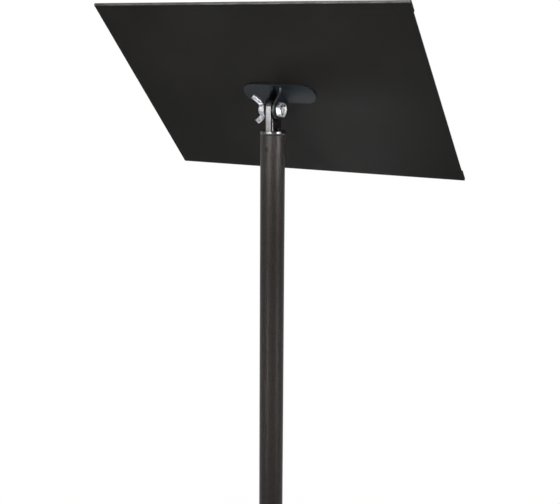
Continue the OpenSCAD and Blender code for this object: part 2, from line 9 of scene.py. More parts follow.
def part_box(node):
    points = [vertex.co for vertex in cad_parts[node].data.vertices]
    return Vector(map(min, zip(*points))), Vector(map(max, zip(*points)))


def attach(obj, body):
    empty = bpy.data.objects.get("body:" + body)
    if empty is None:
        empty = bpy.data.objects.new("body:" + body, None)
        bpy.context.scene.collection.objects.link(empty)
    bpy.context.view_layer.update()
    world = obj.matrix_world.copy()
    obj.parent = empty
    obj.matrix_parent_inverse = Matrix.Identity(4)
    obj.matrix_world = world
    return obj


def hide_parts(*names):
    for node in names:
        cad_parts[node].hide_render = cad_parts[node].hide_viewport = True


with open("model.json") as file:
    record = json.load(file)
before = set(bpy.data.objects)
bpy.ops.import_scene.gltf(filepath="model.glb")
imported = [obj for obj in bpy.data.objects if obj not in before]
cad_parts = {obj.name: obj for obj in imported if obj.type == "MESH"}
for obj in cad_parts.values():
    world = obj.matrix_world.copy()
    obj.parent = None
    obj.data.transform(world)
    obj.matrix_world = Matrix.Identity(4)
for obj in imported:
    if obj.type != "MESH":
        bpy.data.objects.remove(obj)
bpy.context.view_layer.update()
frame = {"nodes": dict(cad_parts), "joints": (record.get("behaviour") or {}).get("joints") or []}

# ---- Camera -------------------------------------------------------------
# A long lens behind the stand, a little above the tilt hinge and round towards the
# bolt's head.
joints = {joint["name"]: joint for joint in frame["joints"]}
hinge = Vector(joints["desk_tilt"]["pos_m"])
yaw, pitch, roll = (math.radians(angle) for angle in (28.31, 11.35, 0.38))
lens_back, lens_aside, lens_above = 1.3818, 0.0103, 0.0922
lens_long, film_wide = 69.23, 36
aside = Vector((-math.cos(yaw), -math.sin(yaw), 0))
behind = Vector((-math.sin(yaw), math.cos(yaw), 0))
ahead = -behind * math.cos(pitch) - Vector((0, 0, math.sin(pitch)))
above = aside.cross(ahead)
right = aside * math.cos(roll) + above * math.sin(roll)
upward = above * math.cos(roll) - aside * math.sin(roll)


def placed(name, data):
    """A new object in the scene."""
    thing = bpy.data.objects.new(name, data)
    bpy.context.collection.objects.link(thing)
    return thing


lens = bpy.data.cameras.new("camera")
lens.sensor_width = film_wide
lens.lens = lens_long
camera = placed("camera", lens)
stand_point = hinge + behind * lens_back + aside * lens_aside + Vector((0, 0, lens_above))
facing = Matrix((right, upward, -ahead)).transposed().to_4x4()
camera.matrix_world = Matrix.Translation(stand_point) @ facing
bpy.context.scene.camera = camera


# ---- Studio -------------------------------------------------------------
# Pale paper under the stand, an even pale surround, a broad lamp overhead and a soft box on
# each side of the camera. Small lamps with grids aim at the mast's head and at its tube, and
# a weak one near the floor lifts the shade under the desk.
class Wire:
    """One output in a shader's node tree. Sums and products of wires add Math nodes."""

    def __init__(self, tree, output=None):
        self.tree = tree
        self.output = output

    def node(self, kind, settings=None, sockets=None, out=0):
        """Adds a node, makes its settings, feeds its sockets and gives one of its outputs."""
        made = self.tree.nodes.new(kind)
        for name, value in (settings or {}).items():
            if name == "stops":
                stops = made.color_ramp.elements
                while len(stops) < len(value):
                    stops.new(1)
                for stop, (place, shade) in zip(stops, value):
                    stop.position = place
                    stop.color = (*shade, 1)
            else:
                setattr(made, name, value)
        for name, value in (sockets or {}).items():
            if isinstance(value, Wire):
                self.tree.links.new(value.output, made.inputs[name])
            else:
                made.inputs[name].default_value = value
        return Wire(self.tree, made.outputs[out]) if made.outputs else None

    def maths(self, operation, first, second):
        return self.node("ShaderNodeMath", {"operation": operation}, {0: first, 1: second})

    def __add__(self, other):
        return self.maths("ADD", self, other)

    def __radd__(self, other):
        return self.maths("ADD", other, self)

    def __mul__(self, other):
        return self.maths("MULTIPLY", self, other)

    def __rmul__(self, other):
        return self.maths("MULTIPLY", other, self)


def ramp(wire, value, low, high, to_low=0.0, to_high=1.0):
    """Value from low to high, carried over to a range of its own."""
    return wire.node("ShaderNodeMapRange", {"interpolation_type": "SMOOTHSTEP"}, {
        "Value": value, "From Min": low, "From Max": high, "To Min": to_low, "To Max": to_high,
    })


def seen_directly(wire):
    """1 for the rays that find the surround itself: from the camera, or off metal or glass."""
    path = "ShaderNodeLightPath"
    seen = wire.node(path, out="Is Camera Ray")
    for ray in ("Is Glossy Ray", "Is Transmission Ray"):
        seen = wire.maths("MAXIMUM", seen, wire.node(path, out=ray))
    return seen


def bare(holder):
    """A wire in the emptied node tree of a world or material."""
    holder.use_nodes = True
    holder.node_tree.nodes.clear()
    return Wire(holder.node_tree)


surround_level = 0.4
world = bpy.data.worlds.new("surround")
bpy.context.scene.world = world
sky = bare(world)
sky.node("ShaderNodeOutputWorld", sockets={
    "Surface": sky.node("ShaderNodeBackground", sockets={
        "Color": (1, 1, 1, 1),
        "Strength": surround_level + (1 - surround_level) * seen_directly(sky),
    }),
})


def meshed(name, form):
    """A form made into a mesh, which uses the form up."""
    mesh = bpy.data.meshes.new(name)
    form.to_mesh(mesh)
    form.free()
    return mesh


paper_side, bright_from, bright_to, near_level = 24, 0.6, 1.7, 0.82
sheet = bmesh.new()
bmesh.ops.create_grid(sheet, x_segments=2, y_segments=2, size=paper_side / 2)
floor = placed("studio_paper", meshed("studio_paper", sheet))
paper = bpy.data.materials.new("studio_paper")
fibres = bare(paper)
place = fibres.node("ShaderNodeTexCoord", out="Object")
distance = fibres.node("ShaderNodeVectorMath", {"operation": "LENGTH"}, {0: place}, out="Value")
away = ramp(fibres, distance, bright_from, bright_to, near_level)
speckle = fibres.node("ShaderNodeTexNoise", sockets={
    "Vector": place, "Scale": 120.0, "Detail": 4.0,
})
pulp = fibres.node("ShaderNodeValToRGB", {
    "stops": [(0.3, (0.82, 0.82, 0.82)), (0.7, (0.86, 0.86, 0.86))],
}, {"Fac": speckle})
fibres.node("ShaderNodeOutputMaterial", sockets={
    "Surface": fibres.node("ShaderNodeMixShader", sockets={
        0: seen_directly(fibres) * away,
        1: fibres.node("ShaderNodeBsdfDiffuse", sockets={"Color": pulp}),
        2: fibres.node("ShaderNodeEmission", sockets={"Color": (1, 1, 1, 1), "Strength": 1.0}),
    }),
})
floor.data.materials.append(paper)


def lamp(name, place, target, width, height, watts, spread=180, shade=(1, 1, 1)):
    """A soft rectangular lamp that faces its target and isn't in the picture itself."""
    light = bpy.data.lights.new(name, "AREA")
    light.shape = "RECTANGLE"
    light.size = width
    light.size_y = height
    light.energy = watts
    light.color = shade
    light.spread = math.radians(spread)
    holder = placed(name, light)
    holder.location = place
    aim = Vector(target) - Vector(place)
    holder.rotation_euler = aim.to_track_quat("-Z", "Y").to_euler()
    holder.visible_camera = False


def round_from(bearing, distance, height):
    """A place round the mast. The bearing runs from straight behind towards the nut."""
    turn = math.radians(bearing)
    return math.sin(turn) * distance, math.cos(turn) * distance, height


box_high, grid_high, low_grid_high, grid_away, grid_spread = 1.5, 1.16, 0.42, 1.7, 16
above_hinge, tube_middle = hinge + Vector((0, 0, 0.08)), Vector((0, 0, 0.87))
lamp("overhead", (0.3, -0.4, 3.4), hinge, width=2.2, height=2.2, watts=30)
lamp("box_by_the_nut", round_from(8, 1.7, box_high), hinge, width=1.1, height=1.4, watts=22)
lamp("box_by_the_bolt", round_from(-82, 1.6, box_high), hinge, width=1.1, height=1.5, watts=12,
     shade=(1, 0.96, 0.93))
lamp("under_the_desk", (0.27, -0.06, 0.3), hinge, width=0.2, height=0.2, watts=0.2, spread=60)
for bearing, watts in ((27, 0.05), (10, 0.18), (-7, 0.22), (-72, 0.3), (-88, 0.2)):
    lamp(f"grid_{bearing}", round_from(bearing, grid_away, grid_high), above_hinge,
         width=0.35, height=0.14, watts=watts, spread=grid_spread)
for bearing, watts in ((10, 0.25), (-82, 0.2)):
    lamp(f"low_grid_{bearing}", round_from(bearing, grid_away, low_grid_high), tube_middle,
         width=0.8, height=0.2, watts=watts, spread=grid_spread)


# ---- Hub ----------------------------------------------------------------
# The hub is cast in one piece: a core for the lower tube and three pairs of cheeks for
# the legs. Its edges are soft from the mould, and it is sprayed a half-gloss black.
MM = 0.001


def finish(name, dress):
    """A material whose shader's sockets are what dress(wire) gives."""
    material = bpy.data.materials.new(name)
    wire = bare(material)
    shader = wire.node("ShaderNodeBsdfPrincipled", sockets=dress(wire))
    wire.node("ShaderNodeOutputMaterial", sockets={"Surface": shader})
    return material


def specks(wire, size, detail=3.0):
    """Noise over the piece, from 0 to 1, with specks about that many millimetres wide."""
    place = wire.node("ShaderNodeTexCoord", out="Object")
    return wire.node("ShaderNodeTexNoise", sockets={
        "Vector": place, "Scale": 1000.0 / size, "Detail": detail, "Roughness": 0.55,
    })


def mixed(wire, share, first, second):
    """Colour from first to second as share goes from 0 to 1. First may be a wire."""
    colours = {6: first if isinstance(first, Wire) else (*first, 1), 7: (*second, 1)}
    return wire.node("ShaderNodeMix", {"data_type": "RGBA"}, {0: share, **colours}, out=2)


def relief(wire, height, depth):
    """A surface raised by height times that many millimetres."""
    return wire.node("ShaderNodeBump", sockets={
        "Height": height, "Distance": depth * MM, "Strength": 1.0,
    })


def cast_black(wire):
    """Half-gloss lacquer with some orange peel, over a slow change of shade."""
    peel = specks(wire, 2.2, 2.0)
    cloud = ramp(wire, specks(wire, 30), 0.35, 0.7)
    return {
        "Base Color": mixed(wire, cloud, (0.012, 0.012, 0.012), (0.02, 0.019, 0.018)),
        "Roughness": ramp(wire, peel, 0.3, 0.7, 0.36, 0.5),
        "Specular IOR Level": 0.18,
        "Normal": relief(wire, peel + 0.4 * specks(wire, 0.7), 0.12),
    }


def solid(form):
    """A form made into an object, for a modifier to work on."""
    bmesh.ops.recalc_face_normals(form, faces=form.faces)
    return placed("form", meshed("form", form))


def worked(thing, *others):
    """The form of an object once its modifiers have run. It and the others are cleared away."""
    ready = thing.evaluated_get(bpy.context.evaluated_depsgraph_get())
    form = bmesh.new()
    form.from_mesh(bpy.data.meshes.new_from_object(ready))
    for used in (thing, *others):
        bpy.data.objects.remove(used)
    return form


def cast(form, grain, relax):
    """Melts a form into one casting, with the edges and inner corners softened."""
    melt = solid(form)
    skin = melt.modifiers.new("skin", "REMESH")
    skin.mode = "VOXEL"
    skin.voxel_size = grain
    soften = melt.modifiers.new("soften", "SMOOTH")
    soften.factor = 0.5
    soften.iterations = relax
    return worked(melt)


def copied(node):
    """The form of a CAD node, in millimetres, with its facets welded."""
    form = bmesh.new()
    form.from_mesh(frame["nodes"][node].data)
    form.transform(Matrix.Scale(1 / MM, 4))
    bmesh.ops.remove_doubles(form, verts=form.verts, dist=0.002)
    return form


def piece(name, form, material, body, node, place=Matrix(), crease=35):
    """Makes a form in millimetres a piece of the stand, in place of a CAD node."""
    form.transform(place @ Matrix.Scale(MM, 4))
    bmesh.ops.recalc_face_normals(form, faces=form.faces)
    mesh = meshed(name, form)
    mesh.shade_smooth()
    mesh.set_sharp_from_angle(angle=math.radians(crease))
    mesh.materials.append(material)
    thing = placed(name, mesh)
    flat = thing.modifiers.new("flat_faces", "WEIGHTED_NORMAL")
    flat.keep_sharp = True
    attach(thing, body)
    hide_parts(node)
    return thing


hub_paint = finish("hub_paint", cast_black)
hub = cast(copied("base_hub"), grain=1.2, relax=3)
piece("cast_hub", hub, hub_paint, "base", "base_hub", crease=60)


# ---- Legs ---------------------------------------------------------------
# Three cast bars, arched and tapering, each bolted between a pair of the hub's cheeks.
# The round boss at the tip takes the foot's stem. Fine-textured black powder coat.
leg_places = [Matrix.Rotation(math.radians(turn), 4, "Z") for turn in (90, 210, 330)]
root_low, tip_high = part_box("leg_1")
leg_in, leg_sole, leg_top = root_low.y / MM, root_low.z / MM, tip_high.z / MM
leg_reach, leg_thick, leg_rim = 300, 10, 2
leg_base, leg_heel, leg_bulge, leg_hollow = 52, 50, 15, 17
tip_r, tip_tall, tip_rim = 12, 13, 1.5
stem_bore, bulb_bore = 4.05, 5.3


def arc(start, end, rise, steps=28):
    """Points along a round arc from start to end that bulges to the left of the way there."""
    chord = end - start
    half = chord.length / 2
    radius = (half * half + rise * rise) / (2 * rise)
    left = Vector((-chord.y, chord.x)).normalized()
    centre = (start + end) / 2 + left * (rise - radius)
    spin = 2 * math.asin(half / radius)
    arm = start - centre
    return [centre + Matrix.Rotation(-spin * i / steps, 2) @ arm for i in range(steps + 1)]


def with_neighbours(points):
    """Each point of a closed outline, between the one before it and the one after."""
    return zip(points[-1:] + points[:-1], points, points[1:] + points[:1])


def inset(outline, by):
    """An outline moved inwards. It runs anticlockwise round the form."""
    inner = []
    for last, here, following in with_neighbours(outline):
        came, goes = (here - last).normalized(), (following - here).normalized()
        middle = Vector((-came.y - goes.y, came.x + goes.x)).normalized()
        square = Vector((-came.y, came.x))
        inner.append(here + middle * by / max(middle.dot(square), 0.5))
    return inner


def loft(rings, ends=True, loop=False):
    """A skin over rings of points, each joined to the next, with flat ends or closed in a loop."""
    form = bmesh.new()
    rows = [[form.verts.new(point) for point in ring] for ring in rings]
    pairs = list(zip(rows, rows[1:]))
    if loop:
        pairs.append((rows[-1], rows[0]))
    for low, high in pairs:
        for i in range(len(low)):
            j = (i + 1) % len(low)
            form.faces.new((low[i], low[j], high[j], high[i]))
    if ends:
        form.faces.new(reversed(rows[0]))
        form.faces.new(rows[-1])
    return form


def plate(outline, thickness, rim, steps=3):
    """A plate standing on Z = 0, with its outline's rims rounded, or bevelled in one step."""
    turns = [math.pi / 2 * i / steps for i in range(steps + 1)]
    levels = [(rim * (1 - math.sin(a)), rim * (1 - math.cos(a))) for a in turns]
    levels += [(back, thickness - up) for back, up in reversed(levels)]
    return loft([[(p.x, p.y, up) for p in inset(outline, back)] for back, up in levels])


def turned(profile, steps=96, shape=None, loop=False):
    """A form turned about Z from (radius, height) points. If there is a shape function, it
    is asked for each point's radius and height at each angle."""
    rings = []
    for radius, height in profile:
        ring = []
        for i in range(steps):
            angle = 2 * math.pi * i / steps
            r, z = shape(radius, height, angle) if shape else (radius, height)
            ring.append((r * math.cos(angle), r * math.sin(angle), z))
        rings.append(ring)
    form = loft(rings, ends=False, loop=loop)
    bmesh.ops.remove_doubles(form, verts=form.verts, dist=0.0005)
    return form


def rounded(corners, steps=4):
    """An outline from (x, y, radius) corners, each corner turned into an arc."""
    outline = []
    for last, here, following in with_neighbours(corners):
        point, radius = Vector(here[:2]), here[2]
        back = (Vector(last[:2]) - point).normalized()
        on = (Vector(following[:2]) - point).normalized()
        if not radius:
            outline.append(point)
            continue
        half = back.angle(on) / 2
        centre = point + (back + on).normalized() * radius / math.sin(half)
        first = point + back * radius / math.tan(half) - centre
        sweep = (math.pi - 2 * half) * (1 if back.cross(on) < 0 else -1)
        for i in range(steps + 1):
            outline.append(centre + Matrix.Rotation(sweep * i / steps, 2) @ first)
    return outline


def carved(form, *tools, operation="DIFFERENCE"):
    """A form with other forms cut out of it."""
    body = solid(form)
    cutters = [solid(tool) for tool in tools]
    for cutter in cutters:
        step = body.modifiers.new("step", "BOOLEAN")
        step.operation = operation
        step.solver = "EXACT"
        step.object = cutter
    return worked(body, *cutters)


def joined(form, *others):
    """Forms that overlap, made into one."""
    return carved(form, *others, operation="UNION")


def moved(form, x=0.0, y=0.0, z=0.0, turn=0.0, axis="Z"):
    """A form turned about an axis and then moved."""
    form.transform(Matrix.Translation((x, y, z)) @ Matrix.Rotation(math.radians(turn), 4, axis))
    return form


def rod(radius, start, end, steps=64):
    """A plain round rod along Z."""
    return turned([(0, start), (radius, start), (radius, end), (0, end)], steps)


def leg_form():
    """A leg along +X, at its height above the floor."""
    heel, toe = Vector((leg_in, leg_top)), Vector((leg_reach, leg_sole + tip_tall))
    heel_low, toe_low = Vector((leg_heel, leg_base)), Vector((leg_reach - tip_r, leg_sole))
    lower = [Vector((leg_in, leg_base))] + arc(heel_low, toe_low, leg_hollow)
    upper = [Vector((leg_reach, leg_sole))] + arc(heel, toe, leg_bulge)[::-1]
    bar = moved(plate(lower + upper, leg_thick, leg_rim), z=-leg_thick / 2)
    bar.transform(Matrix.Rotation(math.pi / 2, 4, "X"))
    tip_top = leg_sole + tip_tall
    tip = turned(rounded([
        (0, leg_sole, 0), (tip_r, leg_sole, tip_rim), (tip_r, tip_top, tip_rim), (0, tip_top, 0),
    ]))
    return joined(bar, moved(tip, x=leg_reach))


def textured_black(wire):
    """Powder coat with a fine grit, shinier in slow patches."""
    grit = specks(wire, 0.9, 2.0)
    coat = ramp(wire, grit, 0.35, 0.65)
    return {
        "Base Color": mixed(wire, coat, (0.009, 0.0085, 0.008), (0.017, 0.0155, 0.0145)),
        "Roughness": ramp(wire, specks(wire, 45), 0.3, 0.7, 0.42, 0.5),
        "Specular IOR Level": 0.15,
        "Normal": relief(wire, grit, 0.11),
    }


leg_paint = finish("leg_paint", textured_black)
for k, place in enumerate(leg_places, 1):
    leg = carved(
        leg_form(),
        moved(rod(stem_bore, 0, leg_top), x=leg_reach),
        moved(rod(bulb_bore, leg_sole + tip_tall, leg_top), x=leg_reach),
    )
    piece(f"leg_bar_{k}", leg, leg_paint, "base", f"leg_{k}", place=place)


# ---- Feet ---------------------------------------------------------------
# Moulded rubber feet, each pushed up into its leg until the bulb on its stem snaps out
# above the boss. Two grooves round the side let the rim give.
def foot_rubber(wire):
    """Matt rubber with a greyish bloom."""
    bloom = specks(wire, 9)
    grey = ramp(wire, bloom, 0.35, 0.75)
    return {
        "Base Color": mixed(wire, grey, (0.013, 0.013, 0.013), (0.024, 0.024, 0.025)),
        "Roughness": ramp(wire, bloom, 0.2, 0.8, 0.62, 0.8),
        "Specular IOR Level": 0.2,
        "Normal": relief(wire, specks(wire, 0.5), 0.05),
    }


rubber = finish("foot_rubber", foot_rubber)
foot_r, stem_r, bulb_r, stem_top = 16, 4, 5, leg_sole + tip_tall
bulb_top = stem_top + 3.5
foot_profile = rounded([
    (0, 0, 0), (foot_r - 2, 0, 1), (foot_r, 2, 1),
    (foot_r - 0.2, 4, 0.3), (foot_r - 1, 4.6, 0.3), (foot_r - 0.4, 5.2, 0.3),
    (foot_r - 0.5, 7, 0.3), (foot_r - 1.3, 7.6, 0.3), (foot_r - 0.8, 8.2, 0.3),
    (foot_r - 1, leg_sole - 2, 1), (foot_r - 3, leg_sole, 0.8),
    (stem_r, leg_sole, 0), (stem_r, stem_top, 0), (bulb_r, stem_top, 0.3),
    (bulb_r, stem_top + 1, 0.4), (bulb_r - 2.6, bulb_top, 1.2), (0, bulb_top, 0),
])
for k, place in enumerate(leg_places, 1):
    foot = moved(turned(foot_profile), x=leg_reach)
    piece(f"rubber_foot_{k}", foot, rubber, "base", f"foot_{k}", place=place)


# ---- Leg screws ---------------------------------------------------------
# Two M6 socket-head screws hold each leg between its cheeks, with a plain hex nut on
# the far side. Screws and nuts are bright zinc.
def zinc_plate(wire):
    """Bright zinc, stained in patches and with specks of dirt."""
    frost = specks(wire, 1.6)
    stain = ramp(wire, specks(wire, 4.5, 1.0), 0.35, 0.6)
    dirt = ramp(wire, specks(wire, 3.0, 1.0), 0.52, 0.6)
    plating = mixed(wire, stain, (0.42, 0.43, 0.45), (0.74, 0.76, 0.79))
    return {
        "Base Color": mixed(wire, dirt, plating, (0.06, 0.06, 0.065)),
        "Roughness": ramp(wire, frost, 0.25, 0.75, 0.42, 0.56),
        "Metallic": 1.0,
        "Normal": relief(wire, frost + 0.3 * specks(wire, 0.35, 1.0), 0.04),
    }


zinc = finish("zinc", zinc_plate)


def hexagon(angle, across):
    """Radius of a hexagon of that width across its flats, with its corners just broken."""
    off = angle % (math.pi / 3) - math.pi / 6
    return min(across / 2 / math.cos(off), across / math.sqrt(3) - 0.15)


def hex_form(across, height, bore=0.0, dish=0.0):
    """A hex head or nut on Z = 0 with its upper corners chamfered at 30 degrees."""
    flat_r = across / 2 - 0.3
    slope = math.tan(math.radians(30))

    def shape(radius, z, angle):
        if radius < flat_r + 0.01:
            return radius, z
        r = hexagon(angle, across)
        return r, z - (r - flat_r) * slope if z > height / 2 else z

    crown = [(bore + 0.4, height), (bore, height - 0.4)] if bore else [(0, height - dish)]
    if dish:
        crown = [(0.62 * flat_r, height), (0.52 * flat_r, height - dish)] + crown
    profile = [(bore, 0), (across, 0), (across, height), (flat_r, height)] + crown
    return turned(profile, shape=shape, loop=bool(bore))


def threaded(radius, pitch, start, end, steps=48):
    """A screw thread along Z, with its end chamfered."""
    depth = 0.54 * pitch
    rows = int((end - start) / pitch * 8) + 1

    def shape(r, z, angle):
        if not r:
            return 0, z
        wave = abs(2 * ((z / pitch - angle / (2 * math.pi)) % 1) - 1)
        tip = radius - depth * min(1, max(0, 1 - (end - z) / pitch))
        return min(radius - depth * (1 - min(1, 1.15 * wave)), tip), z

    heights = [start + (end - start) * i / rows for i in range(rows + 1)]
    return turned([(0, start)] + [(radius, z) for z in heights] + [(0, end)], steps, shape)


def socket_screw(d, length, knurls=36, thread_long=7):
    """A socket-head screw whose head ends at Z = 0 and whose shank runs up from there."""
    head_r, socket, shank_r = 0.83 * d, 0.83 * d, d / 2 - 0.02

    def shape(radius, z, angle):
        if abs(radius - head_r) < 0.01:
            return head_r - 0.12 * (0.5 + 0.5 * math.cos(knurls * angle)), z
        if abs(radius - socket / 2) < 0.01:
            return hexagon(angle, socket), z
        return radius, z

    head = turned([
        (0, -d / 2), (socket / 2, -d / 2), (socket / 2, -d), (head_r - 0.7, -d),
        (head_r - 0.2, -d + 0.25), (head_r, -d + 0.8), (head_r, -0.5), (head_r - 0.4, 0), (0, 0),
    ], 144, shape)
    shank = rod(shank_r, -0.5, length - thread_long, 48)
    thread = threaded(shank_r, pitch=1.0, start=length - thread_long - 0.5, end=length)
    return joined(head, shank, thread)


def together(forms):
    """Several separate forms as one."""
    whole = bmesh.new()
    for form in forms:
        part = meshed("part", form)
        whole.from_mesh(part)
        bpy.data.meshes.remove(part)
    return whole


leg_bolt_d, cheek_wide, bolt_inset, cheek_reach, root_tall = 6, 22.1, 9.5, 56, 42
leg_holes = (
    (cheek_reach - bolt_inset, leg_base + bolt_inset),
    (cheek_reach - 1.5 * bolt_inset, leg_base + root_tall - bolt_inset),
)


def at_legs(form):
    """Copies of a form at each bolt hole of each leg, along the hole."""
    forms = []
    for place in leg_places:
        for out, up in leg_holes:
            one = moved(form.copy(), x=out, z=up, turn=-90, axis="X")
            one.transform(place)
            forms.append(one)
    form.free()
    return together(forms)


screw = moved(socket_screw(leg_bolt_d, cheek_wide + leg_bolt_d), z=-cheek_wide / 2)
piece("leg_screws", at_legs(screw), zinc, "base", "leg_bolts")
nut = hex_form(across=1.66 * leg_bolt_d, height=0.8 * leg_bolt_d, bore=leg_bolt_d / 2 + 0.05)
piece("leg_screw_nuts", at_legs(moved(nut, z=cheek_wide / 2)), zinc, "base", "leg_nuts")


# ---- Anchor -------------------------------------------------------------
# A bolt and washer under the hub pull the lower tube down on its seat, by a tapped
# steel plug fixed in the tube's foot.
def turned_steel(wire):
    """Bare steel with the fine rings that a lathe leaves."""
    place = wire.node("ShaderNodeTexCoord", out="Object")
    rings = wire.node("ShaderNodeTexWave", {"bands_direction": "Z"}, {
        "Vector": place, "Scale": 900.0, "Distortion": 1.5,
    })
    return {
        "Base Color": mixed(wire, specks(wire, 4), (0.40, 0.41, 0.42), (0.52, 0.52, 0.53)),
        "Roughness": ramp(wire, specks(wire, 1.2), 0.3, 0.7, 0.26, 0.42),
        "Metallic": 1.0,
        "Normal": relief(wire, rings, 0.01),
    }


steel = finish("turned_steel", turned_steel)


def dress_node(node, material):
    """Gives a CAD node that is shown as it is its material."""
    mesh = frame["nodes"][node].data
    mesh.materials.clear()
    mesh.materials.append(material)


def washer_form(bore, radius, thickness, rim=0.3):
    """A flat washer on Z = 0."""
    return turned(rounded([
        (bore, 0, rim / 2), (radius, 0, rim), (radius, thickness, rim), (bore, thickness, rim / 2),
    ], 3), loop=True)


dress_node("tube_anchor", steel)
anchor_d, anchor_across = 10, 16
washer_low, washer_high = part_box("anchor_washer")
seat = washer_low.z / MM
head = hex_form(anchor_across, height=0.6 * anchor_d, dish=0.4)
shank = rod(anchor_d / 2, -(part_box("anchor_bolt")[1].z / MM - seat), 1)
anchor = joined(head, shank)
piece("anchor_bolt_m10", moved(anchor, z=seat, turn=180, axis="X"), zinc, "base", "anchor_bolt")
anchor_washer = washer_form(anchor_d / 2 + 0.05, anchor_d, (washer_high.z - washer_low.z) / MM)
piece("anchor_bolt_washer", moved(anchor_washer, z=seat), zinc, "base", "anchor_washer")


# ---- Lower tube ---------------------------------------------------------
# Drawn steel tube in the same fine-textured coat as the legs, cut square and broken at
# both rims.
def tube_form(node, wall, rim):
    """A tube over the height of a CAD node, with its rims rounded."""
    low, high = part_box(node)
    radius, start, end = high.x / MM, low.z / MM, high.z / MM
    return turned(rounded([
        (radius - wall, start, rim), (radius, start, rim),
        (radius, end, rim), (radius - wall, end, rim),
    ]), 128, loop=True)


tube_wall = 1.5
lower_tube = tube_form("lower_tube", tube_wall, rim=0.4)
piece("lower_mast_tube", lower_tube, leg_paint, "base", "lower_tube")


# ---- Height clamp -------------------------------------------------------
# A die-cast collar fixed on the lower tube by two set screws, with a nylon bush for
# the upper tube and a side boss, blended into the collar, for the clamp screw.
def die_cast_black(wire):
    """A smoother, shinier black than the hub's."""
    peel = specks(wire, 1.4, 2.0)
    return {
        "Base Color": mixed(wire, specks(wire, 20), (0.010, 0.010, 0.010), (0.018, 0.0175, 0.017)),
        "Roughness": ramp(wire, peel, 0.3, 0.7, 0.3, 0.42),
        "Specular IOR Level": 0.2,
        "Normal": relief(wire, peel, 0.05),
    }


def moulded_nylon(wire):
    """Black nylon with faint flow marks from the mould."""
    flow = specks(wire, 6)
    return {
        "Base Color": mixed(wire, flow, (0.014, 0.014, 0.014), (0.024, 0.024, 0.024)),
        "Roughness": ramp(wire, flow, 0.3, 0.7, 0.42, 0.55),
        "Normal": relief(wire, specks(wire, 0.8), 0.02),
    }


collar_paint = finish("collar_paint", die_cast_black)
nylon = finish("moulded_nylon", moulded_nylon)
dress_node("collar_bush", nylon)
collar_low, collar_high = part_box("clamp_collar")
clamp_axis = joints["clamp_knob_turn"]["pos_m"][2] / MM
collar_r, boss_r, boss_face = -collar_low.x / MM, 10, collar_high.x / MM
tube_bore, mast_bore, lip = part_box("lower_tube")[1].x / MM + 0.05, 16.3, 2
collar_foot, collar_top = collar_low.z / MM, collar_high.z / MM
boss_blend, boss_bore, shoe_bore, grub_bore = 2, 4.05, 5.1, 2.55
sleeve = turned(rounded([
    (tube_bore, collar_foot, 0.5), (collar_r, collar_foot, 1.5),
    (collar_r, collar_top, 1.5), (mast_bore, collar_top, 0.5),
    (mast_bore, collar_top - lip, 0), (tube_bore, collar_top - lip, 0),
]), 128, loop=True)


def boss_ring(radius, out, follow=False):
    """A ring of the boss, out along X, or that far off the sleeve's own curve."""
    ring = []
    for i in range(64):
        y, z = radius * math.cos(math.pi * i / 32), radius * math.sin(math.pi * i / 32)
        z = min(z, collar_top - clamp_axis - 1)
        ring.append((out + math.sqrt(collar_r ** 2 - y * y) if follow else out, y, z))
    return ring


boss_rings = [boss_ring(boss_r, tube_bore + 2)]
for angle in (math.pi / 16 * i for i in range(9)):
    spread, lift = boss_blend * (1 - math.sin(angle)), boss_blend * (1 - math.cos(angle))
    boss_rings.append(boss_ring(boss_r + spread, lift - 0.1, follow=True))
for less, back in ((0, 1), (0.3, 0.3), (1, 0)):
    boss_rings.append(boss_ring(boss_r - less, boss_face - back))
boss = moved(loft(boss_rings), z=clamp_axis)
stud_way = moved(rod(boss_bore, 0, boss_face + 1), z=clamp_axis, turn=90, axis="Y")
shoe_way = moved(rod(shoe_bore, 0, collar_r + 1), z=clamp_axis, turn=90, axis="Y")
grub_low, grub_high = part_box("collar_screws")
grub_z = (grub_low.z + grub_high.z) / 2 / MM
grub_way = moved(rod(grub_bore, -collar_r - 1, collar_r + 1), z=grub_z, turn=90, axis="X")
collar = carved(joined(sleeve, boss), stud_way, shoe_way, grub_way)
piece("clamp_collar_casting", collar, collar_paint, "base", "clamp_collar")
dress_node("collar_screws", steel)


# ---- Clamp screw --------------------------------------------------------
# A zinc M8 screw with a lobed plastic knob moulded on it pushes a loose brass shoe
# against the upper tube.
def turned_brass(wire):
    """Brass with a light tarnish."""
    tarnish = specks(wire, 3)
    return {
        "Base Color": mixed(wire, tarnish, (0.62, 0.42, 0.16), (0.78, 0.58, 0.26)),
        "Roughness": ramp(wire, tarnish, 0.3, 0.7, 0.22, 0.36),
        "Metallic": 1.0,
    }


def knob_plastic(wire):
    """Black plastic with the leather grain of its mould."""
    place = wire.node("ShaderNodeTexCoord", out="Object")
    leather = wire.node("ShaderNodeTexVoronoi", {"feature": "F1"}, {
        "Vector": place, "Scale": 1400.0,
    })
    return {
        "Base Color": mixed(wire, specks(wire, 12), (0.012, 0.012, 0.012), (0.02, 0.02, 0.02)),
        "Roughness": ramp(wire, specks(wire, 2), 0.3, 0.7, 0.44, 0.55),
        "Specular IOR Level": 0.25,
        "Normal": relief(wire, leather, 0.05),
    }


dress_node("brake_shoe", finish("turned_brass", turned_brass))
along_x = Matrix.Rotation(math.pi / 2, 4, "Y")
clamp_line = Matrix.Translation((0, 0, clamp_axis * MM)) @ along_x
stud_low, stud_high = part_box("clamp_stud")
stud_in, stud_out, stud_r = stud_low.x / MM, stud_high.x / MM, stud_high.y / MM
stud = threaded(stud_r, pitch=1.25, start=stud_in, end=stud_out)
piece("clamp_screw", stud, zinc, "knob", "clamp_stud", place=clamp_line)
knob_low, knob_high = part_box("clamp_knob")
neck_x, knob_face, knob_r = knob_low.x / MM, knob_high.x / MM, 21
knob_lobes, lobe_depth, neck_long, neck_r = 5, 4.2, 6, 9.5
stud_hole = stud_r + 0.02


